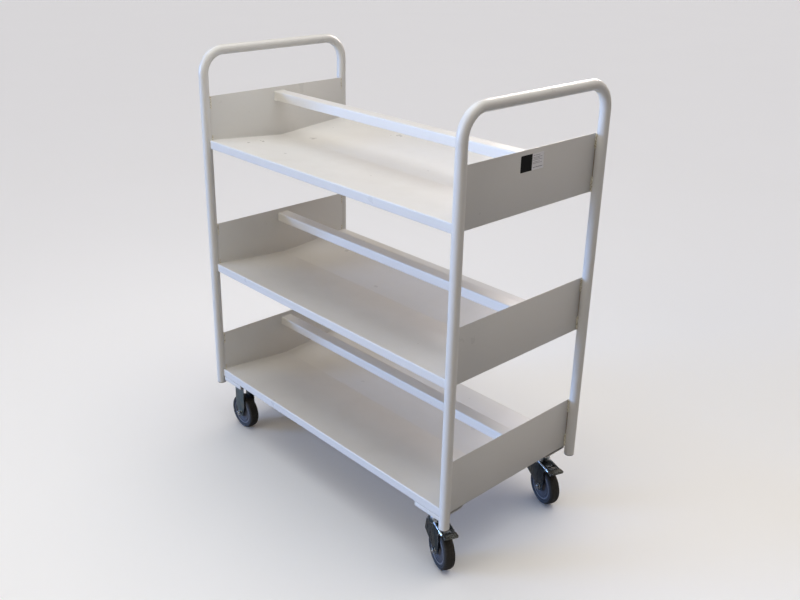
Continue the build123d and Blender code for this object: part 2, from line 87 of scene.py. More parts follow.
# ---------------------------------------------------------------- material nodes
class Shader:
    """A Principled material and short names for the nodes that feed it."""

    def __init__(self, name, **constants):
        self.material = bpy.data.materials.new(name)
        self.material.use_nodes = True
        self.tree = self.material.node_tree
        self.tree.nodes.clear()
        self.surface = self.node("ShaderNodeBsdfPrincipled")
        output = self.node("ShaderNodeOutputMaterial")
        self.link(self.surface.outputs[0], output.inputs[0])
        coordinates = self.node("ShaderNodeTexCoord")
        self.place = coordinates.outputs["Object"]
        self.outwards = coordinates.outputs["Normal"]
        for key, value in constants.items():
            label = key.replace("_", " ").title().replace("Ior", "IOR")
            self.surface.inputs[label].default_value = value

    def node(self, kind, **settings):
        made = self.tree.nodes.new(kind)
        for key, value in settings.items():
            setattr(made, key, value)
        return made

    def link(self, source, target):
        """Feed a socket from another socket, or set it to a value."""
        if isinstance(source, bpy.types.NodeSocket):
            self.tree.links.new(source, target)
        else:
            target.default_value = source

    def stretched(self, scale):
        """Texture place squeezed by a factor along each axis."""
        mapping = self.node("ShaderNodeMapping")
        self.link(self.place, mapping.inputs["Vector"])
        mapping.inputs["Scale"].default_value = scale
        return mapping.outputs[0]

    def noise(self, scale, detail=2.0, roughness=0.5, place=None):
        texture = self.node("ShaderNodeTexNoise")
        self.link(place or self.place, texture.inputs["Vector"])
        texture.inputs["Scale"].default_value = scale
        texture.inputs["Detail"].default_value = detail
        texture.inputs["Roughness"].default_value = roughness
        return texture.outputs["Fac"]

    def cells(self, scale):
        texture = self.node("ShaderNodeTexVoronoi")
        self.link(self.place, texture.inputs["Vector"])
        texture.inputs["Scale"].default_value = scale
        return texture.outputs["Distance"]

    def spread(self, value, low, high, start=0.0, end=1.0):
        """Value from low to high becomes start to end, and is held at both ends."""
        ranged = self.node("ShaderNodeMapRange")
        names = ("Value", "From Min", "From Max", "To Min", "To Max")
        for key, entry in zip(names, (value, low, high, start, end)):
            self.link(entry, ranged.inputs[key])
        return ranged.outputs[0]

    def combine(self, kind, first, second):
        """One maths operation on two values."""
        done = self.node("ShaderNodeMath", operation=kind)
        self.link(first, done.inputs[0])
        self.link(second, done.inputs[1])
        return done.outputs[0]

    def mix(self, factor, first, second):
        """First colour where factor is 0, second where it is 1."""
        mixed = self.node("ShaderNodeMix", data_type="RGBA")
        self.link(factor, mixed.inputs[0])
        for colour, socket in ((first, mixed.inputs[6]), (second, mixed.inputs[7])):
            self.link(colour if isinstance(colour, bpy.types.NodeSocket) else (*colour, 1), socket)
        return mixed.outputs[2]

    def edges(self, radius):
        """1 on the object's edges and 0 away from them."""
        rounded = self.node("ShaderNodeBevel", samples=4)
        rounded.inputs["Radius"].default_value = radius
        geometry = self.node("ShaderNodeNewGeometry")
        dot = self.node("ShaderNodeVectorMath", operation="DOT_PRODUCT")
        self.link(rounded.outputs[0], dot.inputs[0])
        self.link(geometry.outputs["Normal"], dot.inputs[1])
        return self.spread(dot.outputs["Value"], 0.995, 0.86)

    def facing(self, direction):
        """1 on surfaces square to a direction that turns with the piece, and 0 on surfaces along it."""
        turned = self.node("ShaderNodeVectorMath", operation="DOT_PRODUCT")
        self.link(self.outwards, turned.inputs[0])
        turned.inputs[1].default_value = direction
        return self.combine("ABSOLUTE", turned.outputs["Value"], 0.0)

    def facing_up(self, low, high):
        """1 on surfaces that face up, where dust settles."""
        geometry = self.node("ShaderNodeNewGeometry")
        parts = self.node("ShaderNodeSeparateXYZ")
        self.link(geometry.outputs["Normal"], parts.inputs[0])
        return self.spread(parts.outputs["Z"], low, high)

    def bump(self, height, distance, strength=1.0, under=None):
        raised = self.node("ShaderNodeBump")
        self.link(height, raised.inputs["Height"])
        raised.inputs["Distance"].default_value = distance
        raised.inputs["Strength"].default_value = strength
        if under:
            self.link(under, raised.inputs["Normal"])
        return raised.outputs[0]

    def finish(self, colour, roughness, normal):
        self.link(colour, self.surface.inputs["Base Color"])
        self.link(roughness, self.surface.inputs["Roughness"])
        self.link(normal, self.surface.inputs["Normal"])
        return self.material


# ---------------------------------------------------------------- materials
def powder_coat():
    """Satin off-white powder coat: orange peel, slow drift of tone, rubbed edges, faint dust and scuffs."""
    shader = Shader("powder_coat_paint", specular_ior_level=0.5)
    drift = shader.noise(3.0, 3.0)
    speckle = shader.noise(1400.0, 1.0)
    colour = shader.mix(drift, (0.735, 0.722, 0.695), (0.775, 0.765, 0.742))
    colour = shader.mix(shader.spread(speckle, 0.3, 0.7, 0.0, 0.05), colour, (0.60, 0.59, 0.57))
    patches = shader.spread(shader.noise(11.0, 5.0), 0.45, 0.8)
    dust = shader.combine("MULTIPLY", shader.facing_up(0.6, 1.0), patches)
    colour = shader.mix(shader.combine("MULTIPLY", dust, 0.22), colour, (0.62, 0.60, 0.56))
    chips = shader.spread(shader.noise(90.0, 4.0), 0.50, 0.72)
    worn = shader.combine("MULTIPLY", shader.edges(0.0011), chips)
    worn = shader.combine("MULTIPLY", worn, shader.facing_up(0.995, 0.97))
    colour = shader.mix(shader.combine("MULTIPLY", worn, 0.45), colour, (0.42, 0.41, 0.39))
    scratches = shader.noise(24.0, 6.0, 0.62, shader.stretched((0.25, 1.0, 3.0)))
    scuffs = shader.spread(scratches, 0.62, 0.76)
    colour = shader.mix(shader.combine("MULTIPLY", scuffs, 0.07), colour, (0.50, 0.49, 0.47))
    roughness = shader.spread(shader.noise(18.0, 4.0), 0.3, 0.7, 0.27, 0.38)
    roughness = shader.combine("ADD", roughness, shader.combine("MULTIPLY", dust, 0.18))
    peel = shader.noise(620.0, 1.5, 0.4)
    waves = shader.noise(120.0, 1.0)
    normal = shader.bump(peel, 0.00012, 0.6, shader.bump(waves, 0.00025, 0.35))
    return shader.finish(colour, roughness, normal)


def weld_paint():
    """Powder coat over a weld: thicker, glossier, with yellowed hollows."""
    shader = Shader("weld_paint", specular_ior_level=0.5)
    stain = shader.spread(shader.noise(330.0, 4.0), 0.46, 0.64)
    colour = shader.mix(stain, (0.83, 0.80, 0.69), (0.47, 0.40, 0.28))
    roughness = shader.spread(shader.noise(300.0, 2.0), 0.3, 0.7, 0.28, 0.42)
    normal = shader.bump(shader.noise(900.0, 3.0), 0.0003, 0.7)
    return shader.finish(colour, roughness, normal)


def zinc(name, dark, light, rough, axle=None):
    """Blue-passivated zinc on pressed steel: drawn streaks, cloudy passivation and bright edges, partly
    rubbed and partly a painted highlight.

    With an axle direction, the folds between a fork's crown and its legs get a painted highlight too."""
    shader = Shader(name, metallic=1.0)
    cloud = shader.noise(70.0, 4.0, 0.6)
    colour = shader.mix(cloud, dark, light)
    warm = shader.spread(shader.noise(45.0, 3.0), 0.55, 0.75, 0.0, 0.35)
    colour = shader.mix(warm, colour, (0.40, 0.37, 0.30))
    # Pale bluish edges: partly rubbed zinc, partly a painted highlight.
    colour = shader.mix(shader.combine("MULTIPLY", shader.edges(0.0014), 0.85), colour, (0.82, 0.86, 0.92))
    if axle:
        # Painted highlight along the folds between the crown and the legs.
        sideways = shader.facing(axle)
        turning = shader.spread(sideways, 0.20, 0.42)
        fold_highlight = shader.combine("MULTIPLY", turning, shader.spread(sideways, 0.99, 0.90))
        fold_highlight = shader.combine("MULTIPLY", fold_highlight, shader.spread(shader.facing(UP), 0.12, 0.30))
        colour = shader.mix(fold_highlight, colour, (0.84, 0.90, 0.97))
    streaks = shader.noise(260.0, 3.0, 0.6, shader.stretched((1.0, 1.0, 0.08)))
    roughness = shader.spread(streaks, 0.3, 0.7, rough - 0.07, rough + 0.09)
    normal = shader.bump(streaks, 0.00006, 0.5, shader.bump(shader.noise(900.0, 2.0), 0.00008, 0.5))
    return shader.finish(colour, roughness, normal)


def pedal_paint():
    """Olive-grey coating on the pressed brake pedal, rubbed through to steel on the edges, which also carry
    a painted highlight.
    """
    shader = Shader("pedal_paint", metallic=0.5)
    colour = shader.mix(shader.noise(120.0, 4.0), (0.050, 0.053, 0.045), (0.095, 0.097, 0.083))
    # Pale edges: partly rubbed steel, partly a painted highlight.
    patches = shader.spread(shader.noise(160.0, 4.0), 0.35, 0.6)
    rubbed_and_highlit_edges = shader.combine("MULTIPLY", shader.edges(0.0012), patches)
    colour = shader.mix(rubbed_and_highlit_edges, colour, (0.62, 0.64, 0.62))
    roughness = shader.spread(shader.noise(80.0, 3.0), 0.3, 0.7, 0.28, 0.44)
    return shader.finish(colour, roughness, shader.bump(shader.noise(700.0, 2.0), 0.0001, 0.6))


def rubber(name, dark, light, dust_amount):
    """Soft grey rubber with a fine matt grain and dust in its pores."""
    shader = Shader(name, specular_ior_level=0.35)
    colour = shader.mix(shader.noise(60.0, 3.0), dark, light)
    dust = shader.spread(shader.noise(210.0, 5.0, 0.65), 0.50, 0.75, 0.0, dust_amount)
    colour = shader.mix(dust, colour, (0.22, 0.20, 0.17))
    roughness = shader.spread(shader.noise(150.0, 3.0), 0.3, 0.7, 0.52, 0.70)
    grain = shader.bump(shader.cells(1500.0), 0.00008, 0.5)
    return shader.finish(colour, roughness, shader.bump(shader.noise(330.0, 3.0), 0.00015, 0.6, grain))


def moulded(name, dark, light, rough, edge_tone):
    """Moulded plastic with a fine spark-eroded grain, flow marks and paler edges."""
    shader = Shader(name, specular_ior_level=0.5)
    colour = shader.mix(shader.noise(50.0, 4.0), dark, light)
    colour = shader.mix(shader.combine("MULTIPLY", shader.edges(0.0008), 0.5), colour, edge_tone)
    roughness = shader.spread(shader.noise(120.0, 3.0), 0.3, 0.7, rough - 0.06, rough + 0.08)
    return shader.finish(colour, roughness, shader.bump(shader.noise(1100.0, 2.0), 0.00006, 0.6))


def film(name, base, second, rough, gloss=0.5):
    """Thin coat such as a printed label or primer: slight mottling and fine creases."""
    shader = Shader(name, specular_ior_level=gloss)
    colour = shader.mix(shader.noise(500.0, 3.0), base, second)
    roughness = shader.spread(shader.noise(200.0, 2.0), 0.3, 0.7, rough - 0.05, rough + 0.05)
    return shader.finish(colour, roughness, shader.bump(shader.noise(160.0, 2.0), 0.00005, 0.5))


def polished_steel():
    """Ground and polished bearing balls."""
    shader = Shader("ball_steel", metallic=1.0)
    colour = shader.mix(shader.noise(400.0, 3.0), (0.56, 0.56, 0.57), (0.66, 0.66, 0.66))
    roughness = shader.spread(shader.noise(900.0, 2.0), 0.3, 0.7, 0.10, 0.20)
    return shader.finish(colour, roughness, shader.bump(shader.noise(1200.0, 2.0), 0.00002, 0.5))


def floor_paper():
    """Plain pale studio floor that bounces less light onto the object than its own tone would."""
    shader = Shader("floor_paper", specular_ior_level=0.1)
    colour = shader.mix(shader.noise(1.3, 4.0), (0.955, 0.955, 0.955), (0.975, 0.975, 0.975))
    seen = shader.node("ShaderNodeLightPath").outputs["Is Camera Ray"]
    colour = shader.mix(seen, (0.40, 0.40, 0.40), colour)
    roughness = shader.spread(shader.noise(6.0, 3.0), 0.3, 0.7, 0.75, 0.85)
    return shader.finish(colour, roughness, shader.bump(shader.noise(400.0, 3.0), 0.0001, 0.3))


PAINT = powder_coat()
WELD = weld_paint()
SWIVEL_AXLE = tuple(joints["front_right_wheel_spin"]["axis"])
# The fork zinc tones are darker than bare zinc: painted shade for the dark room the metal reflects. The
# darker copy, on the swivel forks and mount bolts, is more painted shade; the bright copy is plated
# fasteners, and on the brake shoe, spring and pin partly a painted highlight.
ZINC = zinc("zinc_plate", (0.13, 0.17, 0.185), (0.24, 0.29, 0.315), 0.32)
SHADED_ZINC = zinc("zinc_shaded", (0.065, 0.083, 0.096), (0.125, 0.15, 0.17), 0.27)
SHADED_FORK_ZINC = zinc("zinc_swivel_fork_fold_highlight", (0.065, 0.083, 0.096), (0.125, 0.15, 0.17), 0.27, SWIVEL_AXLE)
BRIGHT_ZINC = zinc("zinc_fastener", (0.42, 0.45, 0.47), (0.58, 0.61, 0.63), 0.24)
PEDAL = pedal_paint()
TREAD = rubber("tyre_tread", (0.020, 0.019, 0.018), (0.030, 0.028, 0.026), 0.16)
SIDEWALL = rubber("tyre_sidewall", (0.034, 0.038, 0.048), (0.046, 0.051, 0.062), 0.10)
HUB = moulded("hub_moulding", (0.060, 0.064, 0.082), (0.078, 0.083, 0.104), 0.42, (0.16, 0.17, 0.20))
# Pale raised rim of the hub: partly a painted highlight.
HUB_RING = moulded("hub_ring", (0.15, 0.16, 0.19), (0.19, 0.20, 0.235), 0.36, (0.26, 0.27, 0.30))
PLUG = moulded("plug_moulding", (0.17, 0.155, 0.145), (0.22, 0.205, 0.19), 0.48, (0.34, 0.33, 0.31))
LABEL_DARK = film("label_dark", (0.004, 0.004, 0.0045), (0.008, 0.008, 0.0085), 0.42, 0.12)
LABEL_PALE = film("label_pale", (0.90, 0.90, 0.94), (0.95, 0.95, 0.98), 0.30)
LABEL_RULE = film("label_rule", (0.20, 0.20, 0.24), (0.26, 0.26, 0.29), 0.40)
STEEL = polished_steel()
SLOT_ROOT = film("slot_root", (0.46, 0.33, 0.23), (0.60, 0.47, 0.35), 0.7, 0.2)

FINISHES = {
    "powder_coat": PAINT,
    "zinc_steel": ZINC,
    "pedal_steel": PEDAL,
    "bearing_steel": STEEL,
    "tyre": TREAD,
    "hub_plastic": HUB,
    "plug_plastic": PLUG,
    "label_film": LABEL_PALE,
}


# ---------------------------------------------------------------- mesh helpers
SMOOTH_ANGLE = 35.0  # faces that meet at less than this are shaded as one, degrees
TURNED_ANGLE = 50.0
RUN_ANGLE = 40.0
BEAD_ANGLE = 60.0
SHARP_ANGLE = 40.0  # edges sharper than this are rounded over, degrees
FLAT_ANGLE = 1.0
SAME_PLACE = 2e-6
ROUNDING_STEPS = 2
ALONG = Vector((1, 0, 0))


def add_piece(name, mesh, stands_for, materials, smooth_angle=SMOOTH_ANGLE, hides=True):
    """Put a finished mesh in the scene, in place of CAD nodes of one finish, or beside them."""
    piece = bpy.data.objects.new(name, mesh)
    bpy.context.scene.collection.objects.link(piece)
    for material in materials:
        mesh.materials.append(material)
    mesh.shade_smooth()
    mesh.set_sharp_from_angle(angle=math.radians(smooth_angle))
    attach(piece, body_of_node[stands_for[0]])
    if hides:
        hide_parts(*stands_for)
    return piece


def mesh_from(shape, name):
    mesh = bpy.data.meshes.new(name)
    shape.to_mesh(mesh)
    shape.free()
    return mesh


def softened(node, width, material):
    """A copy of a CAD node with its sharp edges rounded over by width."""
    shape = bmesh.new()
    shape.from_mesh(nodes[node].data)
    bmesh.ops.remove_doubles(shape, verts=shape.verts, dist=SAME_PLACE)
    flat = math.radians(FLAT_ANGLE)
    bmesh.ops.dissolve_limit(shape, angle_limit=flat, verts=shape.verts, edges=shape.edges)
    limit = math.radians(SHARP_ANGLE)
    sharp = [e for e in shape.edges if e.is_manifold and e.calc_face_angle(0.0) > limit]
    round_over(shape, sharp, width, clamp=True)
    mesh = mesh_from(shape, f"{node}_finished")
    mesh.materials.clear()
    return add_piece(f"{node}_finished", mesh, [node], [material])


def round_over(shape, edges, width, steps=ROUNDING_STEPS, clamp=False):
    bmesh.ops.bevel(
        shape, geom=edges, offset=width, segments=steps, profile=0.5, affect="EDGES", clamp_overlap=clamp
    )


def block(shape, low, high, kind):
    """A box between two corners, its faces of one material."""
    made = bmesh.ops.create_cube(shape, size=1.0)
    size = high - low
    for vert in made["verts"]:
        vert.co = Vector(((low[i] + high[i]) / 2 + vert.co[i] * size[i] for i in range(3)))
    for face in {face for vert in made["verts"] for face in vert.link_faces}:
        face.material_index = kind


def ring_of(shape, centre, axis, radii, start=None):
    """Ring of points round an axis, one for each radius, the first one towards start."""
    across = start or axis.orthogonal().normalized()
    other = axis.cross(across)
    ring = []
    for i, radius in enumerate(radii):
        turn = 2 * math.pi * i / len(radii)
        spoke = across * math.cos(turn) + other * math.sin(turn)
        ring.append(shape.verts.new(centre + spoke * radius))
    return ring


def skin(shape, rings, closed, kinds=None):
    """Faces from ring to ring, and back to the first ring if closed, or else with both ends filled in."""
    for i, first in enumerate(rings if closed else rings[:-1]):
        second = rings[(i + 1) % len(rings)]
        for j in range(len(first)):
            k = (j + 1) % len(first)
            face = shape.faces.new((first[j], first[k], second[k], second[j]))
            face.material_index = kinds[i] if kinds else 0
    if not closed:
        shape.faces.new(list(reversed(rings[0])))
        shape.faces.new(rings[-1])


def lathe(shape, profile, origin, axis, segments):
    """Turn a closed profile of (along, radius, material) points; a point's material is the next face's."""
    rings = []
    for along, radius, _ in profile:
        rings.append(ring_of(shape, origin + axis * along, axis, [radius] * segments))
    skin(shape, rings, True, [kind for _, _, kind in profile])


def rounded(points, radius):
    """Replace the inner corners of an open profile by arcs of quadratic curves; ends stay."""
    path = [points[0]]
    for before, corner, after in zip(points, points[1:], points[2:]):
        here = Vector(corner[:2])
        to_before = Vector(before[:2]) - here
        to_after = Vector(after[:2]) - here
        reach = min(radius, 0.45 * to_before.length, 0.45 * to_after.length)
        start = here + to_before.normalized() * reach
        end = here + to_after.normalized() * reach
        for k in range(ROUNDING_STEPS + 1):
            t = k / ROUNDING_STEPS
            spot = start * (1 - t) ** 2 + here * 2 * t * (1 - t) + end * t**2
            path.append((spot.x, spot.y, corner[2] if k == ROUNDING_STEPS else before[2]))
    path.append(points[-1])
    return path


def wheel_frame(corner):
    """Centre and axle direction of a wheel."""
    joint = joints[f"{corner}_wheel_spin"]
    return Vector(joint["pos_m"]), Vector(joint["axis"]).normalized()


# ---------------------------------------------------------------- wheels
WHEEL_RADIUS = 0.050
TYRE_HALF = 0.014
HUB_RADIUS = 0.0375
TYRE_ROUNDING = 0.0007
TYRE_SEGMENTS = 128
HUB_ROUNDING = 0.0005
HUB_SEGMENTS = 96


def wheel_part(corner, part, half, middle_kind, rounding, segments, materials):
    """Tyre or hub turned about its axle from the front half of its profile, mirrored to the back."""
    back = [(-along, radius, kind) for along, radius, kind in reversed(half)]
    kinds = [kind for _, _, kind in back[1:]] + [middle_kind]
    back = [(along, radius, kind) for (along, radius, _), kind in zip(back, kinds)]
    shape = bmesh.new()
    lathe(shape, rounded(half + back, rounding), *wheel_frame(corner), segments)
    bmesh.ops.recalc_face_normals(shape, faces=shape.faces)
    name = f"{corner}_{part}_moulding"
    add_piece(name, mesh_from(shape, name), [f"{corner}_{part}"], materials, TURNED_ANGLE)


def make_tyre(corner):
    """Tyre with a rounded tread, a moulding line round its middle and a step in each sidewall."""
    tread, wall = 0, 1
    half = [
        (0.0115, HUB_RADIUS, wall),
        (0.0128, HUB_RADIUS + 0.0006, wall),
        (0.0136, HUB_RADIUS + 0.0030, wall),
        (0.0131, HUB_RADIUS + 0.0036, wall),
        (0.0131, HUB_RADIUS + 0.0048, wall),
        (TYRE_HALF, HUB_RADIUS + 0.0058, wall),
        (TYRE_HALF - 0.0002, WHEEL_RADIUS - 0.0050, tread),
        (0.0118, WHEEL_RADIUS - 0.0020, tread),
        (0.0086, WHEEL_RADIUS - 0.0005, tread),
        (0.0050, WHEEL_RADIUS, tread),
        (0.0006, WHEEL_RADIUS, tread),
        (0.0003, WHEEL_RADIUS - 0.0003, tread),
    ]
    wheel_part(corner, "tyre", half, wall, TYRE_ROUNDING, TYRE_SEGMENTS, [TREAD, SIDEWALL])


def make_hub(corner):
    """Hub with a bearing nose, a dished web, a raised ring and a pale rim, whose paleness is partly a
    painted highlight.
    """
    plain, ring = 0, 1
    half = [
        (0.0140, 0.00605, plain),
        (0.0140, 0.0088, plain),
        (0.0134, 0.0094, plain),
        (0.0134, 0.0112, plain),
        (0.0117, 0.0130, plain),
        (0.0096, 0.0148, plain),
        (0.0092, 0.0165, plain),
        (0.0092, 0.0232, plain),
        (0.0100, 0.0240, plain),
        (0.0110, 0.0250, plain),
        (0.0110, 0.0278, plain),
        (0.0096, 0.0290, plain),
        (0.0094, 0.0308, plain),
        (0.0122, 0.0324, ring),
        (0.0126, 0.0332, ring),
        (0.0126, 0.0350, ring),
        (0.0121, 0.0357, plain),
        (0.0115, HUB_RADIUS, plain),
    ]
    wheel_part(corner, "hub", half, plain, HUB_ROUNDING, HUB_SEGMENTS, [HUB, HUB_RING])


# ---------------------------------------------------------------- brake pedals
SHOE_END = 0.0115  # from the pivot: bright shoe up to here, partly a painted highlight; coated pedal beyond
PEDAL_TOP = 0.0063  # from the pivot up to the tread
PEDAL_ROUNDING = 0.0008
RIDGES = (0.0185, 0.0220, 0.0255)  # from the pivot
RIDGE_SIZE = (0.0012, 0.024, 0.0009)
RIDGE_SINK = 0.0004
RIDGE_ROUNDING = 0.0003


def make_pedal(end):
    """Brake pedal with a bare steel shoe, whose brightness is partly a painted highlight, and three pressed
    ridges across its tread.
    """
    joint = joints[f"{end}_right_brake_press"]
    pivot = Vector(joint["pos_m"])
    across = Vector(joint["axis"]).normalized()
    outwards = pivot - Vector(joints[f"{end}_right_castor_swivel"]["pos_m"])
    outwards.z = 0
    outwards.normalize()
    piece = softened(f"{end}_right_brake_pedal", PEDAL_ROUNDING, PEDAL)
    # Bright zinc for the shoe: bare steel, and partly a painted highlight where it shows in the crown's
    # window.
    piece.data.materials.append(BRIGHT_ZINC)
    shape = bmesh.new()
    shape.from_mesh(piece.data)
    for face in shape.faces:
        if (face.calc_center_median() - pivot).dot(outwards) < SHOE_END:
            face.material_index = 1
    for reach in RIDGES:
        made = bmesh.ops.create_cube(shape, size=1.0)
        place = pivot + outwards * reach + UP * (PEDAL_TOP - RIDGE_SINK + RIDGE_SIZE[2] / 2)
        for vert in made["verts"]:
            along, sideways, high = (vert.co[i] * RIDGE_SIZE[i] for i in range(3))
            vert.co = place + outwards * along + across * sideways + UP * high
        ridge = {edge for vert in made["verts"] for edge in vert.link_edges}
        round_over(shape, list(ridge), RIDGE_ROUNDING)
    shape.to_mesh(piece.data)
    shape.free()


# ---------------------------------------------------------------- bolts, nuts and plugs
FORK_HALF = 0.019  # from the wheel's middle plane to a fork leg's outer face
AXLE_RADIUS = 0.004
AXLE_FLATS = 0.0065  # half the width across the flats
AXLE_HEAD = 0.0055
AXLE_NUT = 0.0065
AXLE_TAIL = 0.0085  # bolt's end beyond the fork's face
AXLE_THREAD = 0.0125
AXLE_PITCH = 0.00125
KING_RADIUS = 0.006
KING_FLATS = 0.009
KING_HEAD = 0.0065
KING_PITCH = 0.00175
KING_WASHER = 1.25  # outer radius over the nut's half width
AXLE_WASHER = 1.2
WASHER = 0.0012
WASHER_EDGE = 0.0002
WASHER_SEGMENTS = 48
HEX_SEGMENTS = 72
HEX_CHAMFER = 0.16  # depth over half the width across the flats
HEX_TURNED = (1.17, 1.075, 0.96)  # radius at the chamfer's start, middle and end, over the same
NUT_BORE = 0.93  # share of the thread's radius
ROD_SEGMENTS = 32
THREAD_STEPS = 6  # rings in each turn of a thread
THREAD_DEPTH = 0.55  # share of the pitch
THREAD_POINT = 0.7  # narrowing of the last turn, share of the pitch
TUBE_RADIUS = 0.0125
PLUG_STEM = 0.0109
PLUG_HEAD = 0.0025
PLUG_HOLE = 0.0012
PLUG_RIBS = 5
PLUG_RIB = ((0.15, 0.0012), (0.75, 0.0008), (0.85, 0.0), (0.98, 0.0004))  # share of the pitch, depth
PLUG_SEGMENTS = 48


def hexagon(shape, origin, axis, flats, height, bore=0.0):
    """Bolt head chamfered at its far end from origin along axis, or with a bore a nut chamfered at both."""
    depth = HEX_CHAMFER * flats
    levels = list(zip((height - depth, height - depth / 2, height), HEX_TURNED))
    if bore:
        levels = [(height - along, limit) for along, limit in reversed(levels)] + levels
    else:
        levels = [(0.0, HEX_TURNED[0])] + levels
    turns = [2 * math.pi * i / HEX_SEGMENTS for i in range(HEX_SEGMENTS)]
    sides = [(turn + math.pi / 6) % (math.pi / 3) - math.pi / 6 for turn in turns]
    rings = []
    for along, limit in levels:
        radii = [min(flats / math.cos(side), flats * limit) for side in sides]
        rings.append(ring_of(shape, origin + axis * along, axis, radii))
    if bore:
        for along in (height, 0.0):
            rings.append(ring_of(shape, origin + axis * along, axis, [bore] * HEX_SEGMENTS))
    skin(shape, rings, bool(bore))


def threaded_rod(shape, origin, axis, radius, length, thread_length, pitch):
    """Rod from origin along axis, plain at first, threaded over its last stretch, with a turned point."""
    plain = length - thread_length
    count = int(thread_length / pitch * THREAD_STEPS)
    rings = []
    for along in [0.0, plain] + [length - thread_length * (1 - k / count) for k in range(1, count + 1)]:
        radii = []
        for i in range(ROD_SEGMENTS):
            height = abs(((along / pitch - i / ROD_SEGMENTS) % 1.0) * 2 - 1)
            cut = 0.0 if along <= plain else THREAD_DEPTH * pitch * height
            point = max(0.0, along - length + pitch) * THREAD_POINT
            radii.append(radius - max(cut, point))
        rings.append(ring_of(shape, origin + axis * along, axis, radii))
    skin(shape, rings, False)


def washer(shape, origin, axis, inner, outer):
    profile = [
        (0.0, inner, 0),
        (0.0, outer - WASHER_EDGE, 0),
        (WASHER_EDGE, outer, 0),
        (WASHER - WASHER_EDGE, outer, 0),
        (WASHER, outer - WASHER_EDGE, 0),
        (WASHER, inner, 0),
    ]
    lathe(shape, profile, origin, axis, WASHER_SEGMENTS)


def fastener_piece(shape, node, material=BRIGHT_ZINC):
    bmesh.ops.recalc_face_normals(shape, faces=shape.faces)
    add_piece(f"{node}_turned", mesh_from(shape, f"{node}_turned"), [node], [material])


def make_axle(seats, bolt_node, nut_node):
    """Hexagon-head bolts from the back and washered nuts with a protruding thread at the front."""
    bolts = bmesh.new()
    nuts = bmesh.new()
    length = 2 * FORK_HALF + AXLE_TAIL
    for corner in seats:
        centre, axle = wheel_frame(corner)
        back = centre + axle * FORK_HALF
        hexagon(bolts, back, axle, AXLE_FLATS, AXLE_HEAD)
        threaded_rod(bolts, back, -axle, AXLE_RADIUS, length, AXLE_THREAD, AXLE_PITCH)
        front = centre - axle * FORK_HALF
        washer(nuts, front, -axle, AXLE_RADIUS, AXLE_FLATS * AXLE_WASHER)
        seat = front - axle * WASHER
        hexagon(nuts, seat, -axle, AXLE_FLATS, AXLE_NUT - WASHER, AXLE_RADIUS * NUT_BORE)
    fastener_piece(bolts, bolt_node)
    fastener_piece(nuts, nut_node)


def make_mount_bolts():
    """The bolts that hold the castors up, and their nuts on top of the brackets."""
    nut_low, nut_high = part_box("castor_mount_nuts")
    nuts = bmesh.new()
    for side, node in (("left", "rigid_castor_bolts"), ("right", "king_bolts")):
        low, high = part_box(node)
        bolts = bmesh.new()
        for end in ENDS:
            joint = "wheel_spin" if side == "left" else "castor_swivel"
            spot = Vector(joints[f"{end}_{side}_{joint}"]["pos_m"])
            head = Vector((spot.x, spot.y, low.z + KING_HEAD))
            hexagon(bolts, head, -UP, KING_FLATS, KING_HEAD)
            threaded_rod(bolts, head, UP, KING_RADIUS, high.z - head.z, high.z - nut_low.z, KING_PITCH)
            seat = Vector((spot.x, spot.y, nut_low.z))
            washer(nuts, seat, UP, KING_RADIUS, KING_FLATS * KING_WASHER)
            height = nut_high.z - nut_low.z - WASHER
            hexagon(nuts, seat + UP * WASHER, UP, KING_FLATS, height, KING_RADIUS * NUT_BORE)
        # Darker zinc copy: painted shade.
        fastener_piece(bolts, node, SHADED_ZINC)
    fastener_piece(nuts, "castor_mount_nuts")


def make_plugs():
    """Leg plugs: a rounded head that covers the tube's end, and a stem with gripping ribs inside."""
    low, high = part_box("leg_end_plugs")
    length = high.z - low.z
    profile = [
        (0.0, PLUG_HOLE, 0),
        (0.0, TUBE_RADIUS - 0.0012, 0),
        (0.0004, TUBE_RADIUS - 0.0004, 0),
        (0.0012, TUBE_RADIUS, 0),
        (PLUG_HEAD, TUBE_RADIUS, 0),
        (PLUG_HEAD, PLUG_STEM, 0),
    ]
    pitch = (length - PLUG_HEAD) / PLUG_RIBS
    for k in range(PLUG_RIBS):
        for share, depth in PLUG_RIB:
            profile.append((PLUG_HEAD + (k + share) * pitch, PLUG_STEM - depth, 0))
    profile.append((length, PLUG_HOLE, 0))
    shape = bmesh.new()
    for x in (low.x + TUBE_RADIUS, high.x - TUBE_RADIUS):
        for y in (low.y + TUBE_RADIUS, high.y - TUBE_RADIUS):
            lathe(shape, profile, Vector((x, y, low.z)), UP, PLUG_SEGMENTS)
    bmesh.ops.recalc_face_normals(shape, faces=shape.faces)
    name = "leg_end_plugs_ribbed"
    add_piece(name, mesh_from(shape, name), ["leg_end_plugs"], [PLUG])


# ---------------------------------------------------------------- welds
WELD_RIPPLE = 0.0032  # from ripple to ripple along a bead
WELD_SIDES = 12
WELD_STEPS = 44
WELD_GROWTH = 1.5
WELD_WAIST = 0.68  # share of the full radius between two ripples
WELD_CREST = 0.27  # added on a ripple
WELD_TAPER = 3.2  # how fast a bead grows to its full radius
WELD_TIP = 0.25  # share of the full radius at a bead's tips
WELD_UNEVEN = 0.03
WELD_SWAY = 0.06
WELD_SEED = 7
SLOT_RECESS = 0.0002  # from a plate's outer face in to the paint that fills the slot beside its edge
SLOT_WIDTH = 0.0035
SLOT_OVERLAP = 0.0003
LINE_START = 0.0004  # brown line in the slot: from the plate's edge
LINE_WIDTH = 0.0012
SLOT_END = 0.004


def end_plates(level):
    """Box corners of a level's end plates, their inner and outer faces along X, and their side's sign."""
    for side, sign in (("left", -1), ("right", 1)):
        low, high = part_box(f"{level}_{side}_end_plate")
        inner, outer = (low.x, high.x) if sign > 0 else (high.x, low.x)
        yield low, high, inner, outer, sign


